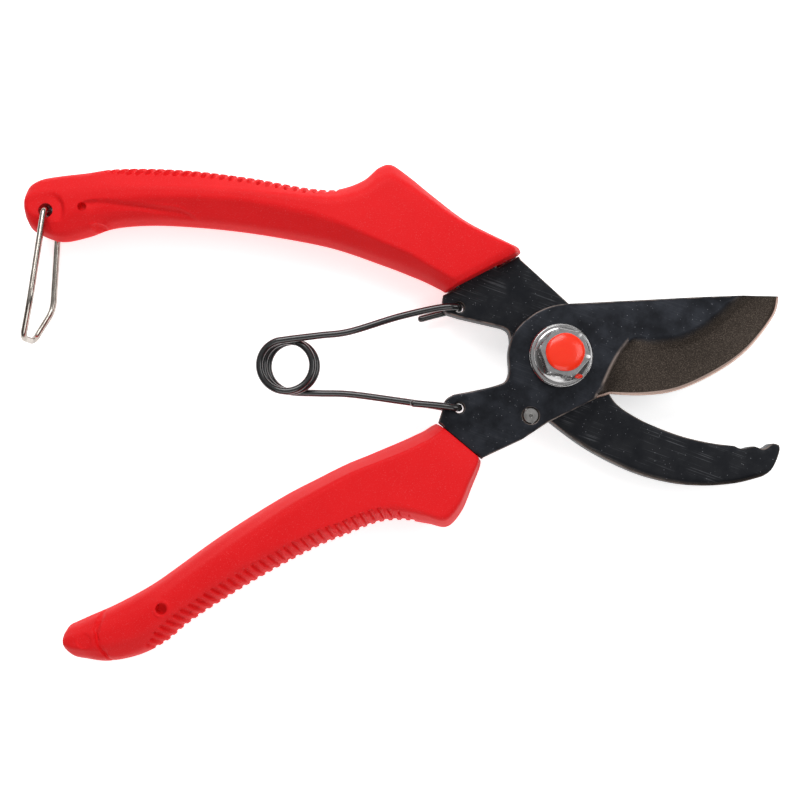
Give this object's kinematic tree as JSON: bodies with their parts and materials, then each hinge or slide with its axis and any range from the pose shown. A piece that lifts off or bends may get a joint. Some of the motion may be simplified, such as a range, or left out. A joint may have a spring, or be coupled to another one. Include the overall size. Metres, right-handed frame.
{
  "type": "pruning shears",
  "caption": "Bypass pruning shears with a curved cutting blade, hooked counter blade, moulded grips, coil spring and swinging wire catch.",
  "frame": {"origin": "pivot axis at the outer face of the pivot bolt's head, the face that the tool lies on", "axes": "+X towards the blade tips, +Y towards the counter blade's grip, +Z along the pivot axis out of the nut side"},
  "size_m": [0.19, 0.1242, 0.0229],
  "materials": {
    "blued_steel": "blue-black phosphated plate steel, satin, with paler rubbed edges",
    "red_plastic": "saturated red moulded plastic with a fine grain",
    "zinc_steel": "bright zinc-plated steel",
    "locking_lacquer": "glossy orange-red locking lacquer",
    "rivet_steel": "grey turned steel",
    "spring_wire": "glossy black spring wire",
    "nickel_wire": "warm bright nickel-plated wire"
  },
  "bodies": {
    "counter_lever": {"counter_blade": "blued_steel", "counter_grip": "red_plastic", "pivot_bolt": "zinc_steel", "front_washer": "zinc_steel", "pivot_nut": "zinc_steel", "nut_lacquer": "locking_lacquer"},
    "cutting_lever": {"cutting_blade": "blued_steel", "cutter_grip": "red_plastic", "stop_rivet": "rivet_steel"},
    "spring_front": {"torsion_spring_front_half": "spring_wire"},
    "spring_rear": {"torsion_spring_rear_half": "spring_wire"},
    "catch": {"catch_bail": "nickel_wire"}
  },
  "joints": [
    {"name": "blade_pivot", "type": "hinge", "parent": "counter_lever", "child": "cutting_lever", "pos_m": [0, 0, 0.0085], "axis": [0, 0, -1], "range_deg": [0, 38], "stiffness_Nm_per_rad": 0.33, "springref_deg": -54.43, "deforming": ["torsion_spring_front_half", "torsion_spring_rear_half"]},
    {"name": "front_hook_turn", "type": "hinge", "parent": "counter_lever", "child": "spring_front", "pos_m": [-0.0248, 0.0127, 0.0059], "axis": [0, 0, -1], "range_deg": [0, 30.9]},
    {"name": "rear_hook_turn", "type": "hinge", "parent": "cutting_lever", "child": "spring_rear", "pos_m": [-0.0251, -0.0129, 0.01085], "axis": [0, 0, 1], "range_deg": [0, 30]},
    {"name": "catch_swing", "type": "hinge", "parent": "counter_lever", "child": "catch", "pos_m": [-0.1278, 0.0363, 0.0085], "axis": [0, 0, -1], "range_deg": [0, 26.6]}
  ],
  "couplings": [
    {"joint": "front_hook_turn", "follows": "blade_pivot", "ratio": 0.811},
    {"joint": "rear_hook_turn", "follows": "blade_pivot", "ratio": 0.788},
    {"joint": "catch_swing", "follows": "blade_pivot", "ratio": 0.7}
  ]
}
